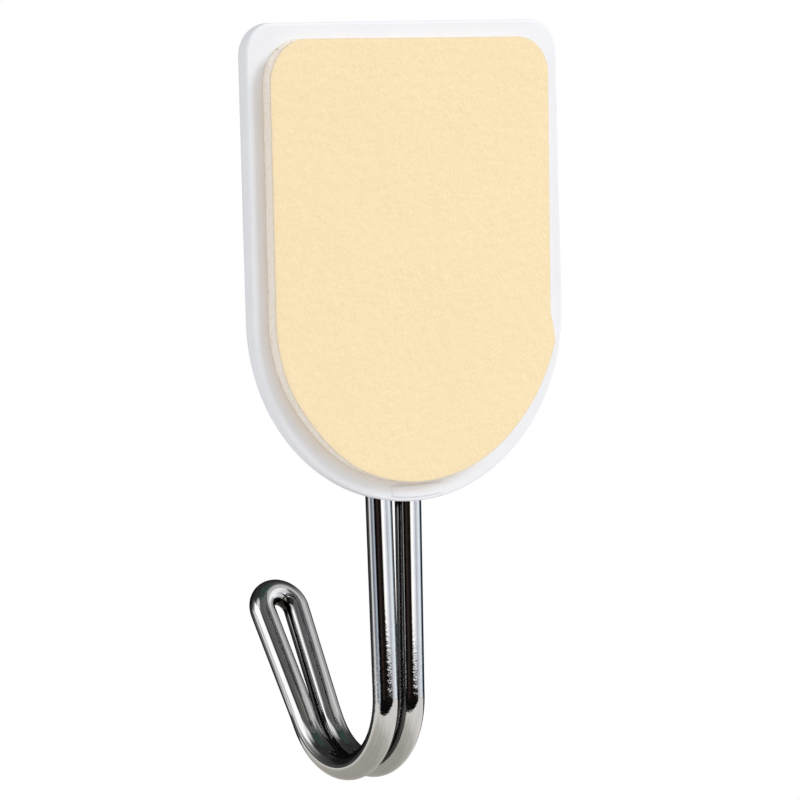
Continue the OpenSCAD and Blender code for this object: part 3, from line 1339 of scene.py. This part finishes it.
    def build(self) -> list[Piece]:
        """Builds and dresses the four layers.

        Returns:
            The pieces, from the base to the wall.
        """
        film, paper = self.film.material(), self.paper.material()
        far = self.liner_t + self.film_t + self.foam_t
        return [
            self.layer(Side.BASE.value, far, self.film_t, 0.0, film, Body.BASE, "inner_adhesive"),
            self.core(),
            self.layer(Side.WALL.value, self.liner_t, self.film_t, 1.0, film, Body.BASE,
                       "outer_adhesive"),
            self.layer("liner_sheet", 0.0, self.liner_t, 1.0, paper, Body.LINER, "release_liner"),
        ]


@dataclass(frozen=True)
class PhotoCamera:
    """The camera at the photograph's angle and tilt."""

    elevation: float = 2.678
    roll: float = 1.538
    distance: float = 0.5
    focal_px: float = 4477.2
    frame_px: float = 800.0
    sensor: float = 36.0
    nearest: float = 0.01
    aim_right: float = -1.323
    aim_up: float = -9.640

    def build(self) -> None:
        """Places the camera and makes it the scene's own."""
        back = direction(CAMERA_AZIMUTH, self.elevation)
        flat_right = (-back).cross(Vector((0, 0, 1))).normalized()
        flat_up = flat_right.cross(-back)
        c, s = math.cos(math.radians(self.roll)), math.sin(math.radians(self.roll))
        right, up = flat_right * c - flat_up * s, flat_right * s + flat_up * c
        target = at_back(0.0, 0.0, 0.0)
        place = target + back * self.distance
        aim = target + (right * self.aim_right + up * self.aim_up) * MM
        behind = (place - aim).normalized()
        right = up.cross(behind).normalized()
        up = behind.cross(right)
        data = bpy.data.cameras.new("photo_camera")
        data.sensor_width = self.sensor
        data.lens = self.focal_px / self.frame_px * self.sensor
        data.clip_start = self.nearest
        obj = link("photo_camera", data)
        obj.matrix_world = Matrix.Translation(place) @ Matrix((right, up, behind)).transposed().to_4x4()
        bpy.context.scene.camera = obj


@dataclass(frozen=True)
class Lamp:
    """A soft square lamp that faces the object and that mirrors don't show."""

    name: str
    azimuth: float
    elevation: float
    distance: float
    size: float
    watt: float

    def build(self) -> None:
        """Places the lamp."""
        way = direction(self.azimuth, self.elevation)
        data = bpy.data.lights.new(self.name, "AREA")
        data.shape = "SQUARE"
        data.size = self.size
        data.energy = self.watt
        obj = link(self.name, data)
        obj.location = way * self.distance
        obj.rotation_mode = "QUATERNION"
        obj.rotation_quaternion = way.to_track_quat("Z", "Y")
        obj.visible_glossy = False


@dataclass(frozen=True)
class PaleFloor:
    """A plain pale floor, which the chrome mirrors as a glowing warm grey with a painted shadow under the
    object.
    """

    bearing: float = 2.0
    front: float = 0.104
    back: float = 0.15
    half: float = 0.35
    melt: float = 0.085
    colour: Colour = (0.84, 0.84, 0.84)
    shadow_middle: Triple = (0.0, 0.045, 0.0)
    shadow_lean: float = 0.45
    shadow_reach: float = 0.16
    shadow_stops: Stops = (
        (0.0, (0.40, 0.385, 0.34)), (0.31, (0.43, 0.41, 0.365)), (0.45, (0.50, 0.48, 0.435)),
        (0.575, (0.58, 0.56, 0.52)), (0.675, (0.69, 0.665, 0.63)), (0.83, (0.78, 0.755, 0.72)),
        (1.0, (0.8, 0.78, 0.75)))
    cloud_scale: float = 30.0
    cloud_shift: float = 0.012
    second_bounce: float = 0.15

    def mirrored_shadow(self, bench: MaterialBench, place: Socket) -> Socket:
        """Paints the floor as mirrors show it, with a painted shadow under the object.

        Args:
            bench: the material's bench.
            place: the floor's coordinates.

        Returns:
            A warm grey, darker near the object as painted shadow, and lighter away from it and to the right.
        """
        inputs = {"Vector": place, "Scale": self.cloud_scale, "Detail": 4.0}
        cloud = bench.add("ShaderNodeTexNoise", inputs).outputs["Fac"]
        flat = bench.vector("MULTIPLY_ADD", place, (1.0, 1.0, 0.0), self.shadow_middle)
        shift = bench.span(cloud, (0.3, 0.7), (-self.cloud_shift, self.cloud_shift))
        away = bench.math("ADD", bench.vector("LENGTH", flat), shift)
        lean = bench.vector("DOT_PRODUCT", flat, tuple(beside(90.0, self.shadow_lean)))
        return bench.ramp(bench.span(bench.math("ADD", away, lean), (0.0, self.shadow_reach)), self.shadow_stops)

    def rim(self, bench: MaterialBench, place: Socket) -> Socket:
        """Finds the floor's edges.

        Args:
            bench: the material's bench.
            place: the floor's coordinates.

        Returns:
            A mask that is whole at the nearest edge.
        """
        ahead = bench.vector("DOT_PRODUCT", place, tuple(beside(self.bearing, 1.0)))
        aside = bench.vector("DOT_PRODUCT", place, tuple(beside(self.bearing + 90, 1.0)))
        front, back = bench.math("SUBTRACT", self.front, ahead), bench.math("ADD", ahead, self.back)
        side = bench.math("SUBTRACT", self.half, bench.math("ABSOLUTE", aside))
        nearest = bench.math("MINIMUM", bench.math("MINIMUM", front, back), side)
        return bench.span(nearest, (0.0, self.melt), (1.0, 0.0))

    def material(self) -> Paint:
        """Makes the floor's material.

        Returns:
            The material. To a camera it melts into the white at its edges, and it is clear from below.
        """
        bench = MaterialBench("pale_floor")
        place, path = bench.place(), bench.path()
        plain = bench.add("ShaderNodeBsdfDiffuse", {"Color": self.colour}).outputs[0]
        # painted reflection and shade: to mirrors the floor glows with a painted shadow, and dims after a
        # second mirror
        fade = bench.span(path["Glossy Depth"], (1.0, 2.0), (1.0, self.second_bounce))
        seen = bench.either(path["Is Glossy Ray"], plain, bench.glow(self.mirrored_shadow(bench, place), fade))
        melted = bench.product(self.rim(bench, place), path["Is Camera Ray"])
        seen = bench.either(melted, seen, bench.glow(WHITE))
        below = bench.product(bench.add("ShaderNodeNewGeometry").outputs["Backfacing"], path["Is Camera Ray"])
        return bench.show(bench.either(below, seen, bench.add("ShaderNodeBsdfTransparent").outputs[0]))

    def build(self) -> None:
        """Lays the floor, facing up."""
        front, back = beside(self.bearing, self.front, FLOOR_UP), beside(self.bearing, -self.back, FLOOR_UP)
        side = beside(self.bearing + 90, self.half)
        corners = (front - side, front + side, back + side, back - side)
        skin = bmesh.new()
        face = skin.faces.new([skin.verts.new(corner) for corner in corners])
        face.normal_update()
        if face.normal.z < 0:
            face.normal_flip()
        as_object("pale_floor", skin, self.material())


@dataclass(frozen=True)
class BlackFlag:
    """A black flag beside the camera, seen in mirrors alone, which cuts off the bright band low down."""

    away: float = 0.2
    colour: Colour = (0.006, 0.004, 0.003)
    top: tuple[Pair, ...] = (
        (10.0, -62.5), (18.0, -65.0), (26.0, -68.0), (38.0, -70.5), (52.0, -72.5), (64.0, -74.0))

    def build(self) -> None:
        """Stands the flag on the floor, with its top edge at given bearings and heights."""
        skin = bmesh.new()
        high = [skin.verts.new(beside(turn, self.away, up)) for turn, up in self.top]
        low = [skin.verts.new(beside(turn, self.away, FLOOR_UP)) for turn, up in self.top]
        for i in range(len(self.top) - 1):
            skin.faces.new((high[i], high[i + 1], low[i + 1], low[i]))
        bench = MaterialBench("black_flag")
        card = as_object("black_flag", skin, bench.show(bench.glow(self.colour)))
        card.visible_camera = False
        card.visible_diffuse = False
        card.visible_shadow = False


@dataclass(frozen=True)
class Wall:
    """A wall round the mirrored room, with a grey or a colour at bearings from the camera."""

    stops: tuple[tuple[float, float | Colour], ...]

    def paint(self, bench: NodeBench, turn: Socket) -> Socket:
        """Paints the wall.

        Args:
            bench: the world's bench.
            turn: position round the room, from behind the object by its left and the camera to its right.

        Returns:
            The wall's colour.
        """
        ramp = []
        for bearing, shade in self.stops:
            colour = shade if isinstance(shade, tuple) else (shade, shade, shade)
            ramp.append((0.5 + bearing / 360, colour))
        return bench.ramp(turn, tuple(ramp))


NAVY: Colour = (0.012, 0.016, 0.03)
SLATE: Colour = (0.22, 0.235, 0.275)
STEEL: Colour = (0.50, 0.57, 0.66)


@dataclass(frozen=True)
class MirroredRoom:
    """The world: white to the camera, an even pale light, and dark and bright walls that mirrors show.

    Each wall starts to cover the one below it at its first height and is whole at its second one, as sines of
    the elevation.
    """

    ambient: Colour = (0.62, 0.62, 0.6262)
    lower: Wall = Wall((
        (-180, 0.01), (-128, 0.02), (-118, 0.2), (-100, 0.55), (-62, (0.50, 0.52, 0.54)),
        (-52, (0.42, 0.45, 0.48)), (-46, 0.004), (62, 0.004), (68, 0.5), (90, (0.75, 0.78, 0.8)),
        (118, (0.7, 0.75, 0.8)), (126, 0.03), (180, 0.01)))
    level_heights: Pair = (-0.19, -0.13)
    level: Wall = Wall((
        (-180, NAVY), (-135, 0.008), (-124, 0.05), (-108, 0.075), (-104, 0.11), (-99, 0.75), (-84, 0.85),
        (-79, SLATE), (-63, SLATE), (-57, STEEL), (-49, STEEL), (-44, 0.001), (-34, 0.001),
        (-26, (0.010, 0.006, 0.006)), (-16, (0.050, 0.034, 0.028)), (-6, (0.014, 0.009, 0.007)), (16, 0.004),
        (21, (1.2, 1.15, 1.05)), (32, 1.45), (44, (1.05, 1.07, 1.1)), (54, (0.9, 0.93, 1.0)),
        (61, (0.55, 0.57, 0.62)), (72, (0.66, 0.66, 0.72)), (82, (0.8, 0.82, 0.88)),
        (96, (0.96, 1.06, 1.1)), (112, (0.84, 0.96, 1.04)), (118, (0.12, 0.14, 0.2)), (132, NAVY),
        (180, NAVY)))
    middle_heights: Pair = (0.02, 0.15)
    middle: Wall = Wall((
        (-180, 0.01), (-120, 0.012), (-100, 0.08), (-84, 0.4), (-78, 1.3), (-42, 1.3), (-37, 0.03),
        (10, 0.05), (20, 0.2), (40, 0.5), (60, 0.85), (71, 1.05), (100, 1.15), (106, 0.9), (112, 0.5),
        (119, 0.42), (138, 0.42), (146, 0.05), (180, 0.01)))
    upper_heights: Pair = (0.52, 0.62)
    upper: Wall = Wall((
        (-180, 0.03), (-86, 0.035), (-76, 0.06), (-66, 0.42), (-54, 0.85), (-38, 0.85), (-30, 0.10),
        (-23, 0.14), (-8, 0.11), (16, (0.19, 0.18, 0.16)), (50, (0.36, 0.35, 0.33)), (71, 0.58), (83, 0.55),
        (90, 0.64), (97, 0.62), (104, 0.36), (117, 0.18), (138, 0.06), (180, 0.03)))
    zenith_heights: Pair = (0.80, 0.90)
    zenith: Wall = Wall((
        (-180, 0.034), (-145, 0.028), (-95, 0.03), (-40, (0.05, 0.06, 0.055)), (-8, (0.08, 0.112, 0.10)),
        (40, (0.06, 0.10, 0.088)), (71, (0.115, 0.15, 0.135)), (100, (0.07, 0.085, 0.08)), (139, 0.07),
        (180, 0.034)))
    top_heights: Pair = (0.92, 0.97)
    top: Colour = (0.04, 0.066, 0.058)
    second_mirror_dark: Colour = (0.004, 0.003, 0.003)
    second_mirror_shade: Wall = Wall(((-180, 0.96), (14, 0.96), (22, 0.45), (38, 0.45), (46, 0.96), (180, 0.96)))

    def walls(self, bench: NodeBench, depth: Socket) -> Socket:
        """Paints the walls that mirrors show.

        Args:
            bench: the world's bench.
            depth: how many mirrors the light has met.

        Returns:
            The walls' colour, painted almost black as shade after a second mirror.
        """
        way = bench.add("ShaderNodeTexCoord").outputs["Generated"]
        facing = {"Vector": way, "Rotation": (0.0, 0.0, math.radians(90 - CAMERA_AZIMUTH))}
        ahead = {"Vector": bench.add("ShaderNodeMapping", facing).outputs[0]}
        turn = bench.add("ShaderNodeTexGradient", ahead, gradient_type="RADIAL").outputs["Fac"]
        height = bench.split(way)["Z"]
        colour = self.lower.paint(bench, turn)
        tiers = ((self.level_heights, self.level), (self.middle_heights, self.middle),
                 (self.upper_heights, self.upper), (self.zenith_heights, self.zenith))
        for heights, wall in tiers:
            colour = bench.blend(bench.span(height, heights), colour, wall.paint(bench, turn))
        colour = bench.blend(bench.span(height, self.top_heights), colour, self.top)
        # painted shade: after a second mirror the walls turn almost black
        again = bench.product(bench.span(depth, (1.0, 2.0)), self.second_mirror_shade.paint(bench, turn))
        return bench.blend(again, colour, self.second_mirror_dark)

    def build(self) -> None:
        """Sets the scene's world."""
        world = bpy.data.worlds.new("studio_room")
        world.use_nodes = True
        bpy.context.scene.world = world
        bench = NodeBench(world.node_tree)
        bench.tree.nodes.clear()
        path = bench.add("ShaderNodeLightPath").outputs
        walls = self.walls(bench, path["Glossy Depth"])
        colour = bench.blend(path["Is Glossy Ray"], self.ambient, walls)
        colour = bench.blend(path["Is Camera Ray"], colour, WHITE)
        sky = bench.add("ShaderNodeBackground", {"Color": colour, "Strength": 1.0})
        bench.add("ShaderNodeOutputWorld", {"Surface": sky.outputs[0]})


@dataclass(frozen=True)
class Studio:
    """Camera, pale floor, flag, soft lamps and the room that the chrome mirrors."""

    camera: PhotoCamera = PhotoCamera()
    floor: PaleFloor = PaleFloor()
    flag: BlackFlag = BlackFlag()
    room: MirroredRoom = MirroredRoom()
    lamps: tuple[Lamp, ...] = (
        Lamp("key_lamp", azimuth=222.0, elevation=30.0, distance=1.2, size=0.5, watt=7.05),
        Lamp("side_lamp", azimuth=110.0, elevation=15.0, distance=1.0, size=0.6, watt=1.72),
        Lamp("front_lamp", azimuth=-29.0, elevation=26.0, distance=1.02, size=0.6, watt=2.6),
        Lamp("top_lamp", azimuth=100.0, elevation=78.0, distance=1.0, size=0.5, watt=0.7))

    def build(self) -> None:
        """Builds the whole studio."""
        bpy.context.scene.view_settings.view_transform = "Standard"
        for thing in (self.camera, self.floor, self.flag, self.room, *self.lamps):
            thing.build()


def main() -> None:
    """Builds the studio and every piece."""
    logging.basicConfig(level=logging.INFO, format="%(message)s")
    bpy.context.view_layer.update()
    Studio().build()
    pieces = [MouldedBase().build(), BentWire().build(), *FoamPad().build()]
    for piece in pieces:
        LOG.info("%s: %d faces", piece.name, len(piece.data.polygons))


if __name__ == "__main__":
    main()
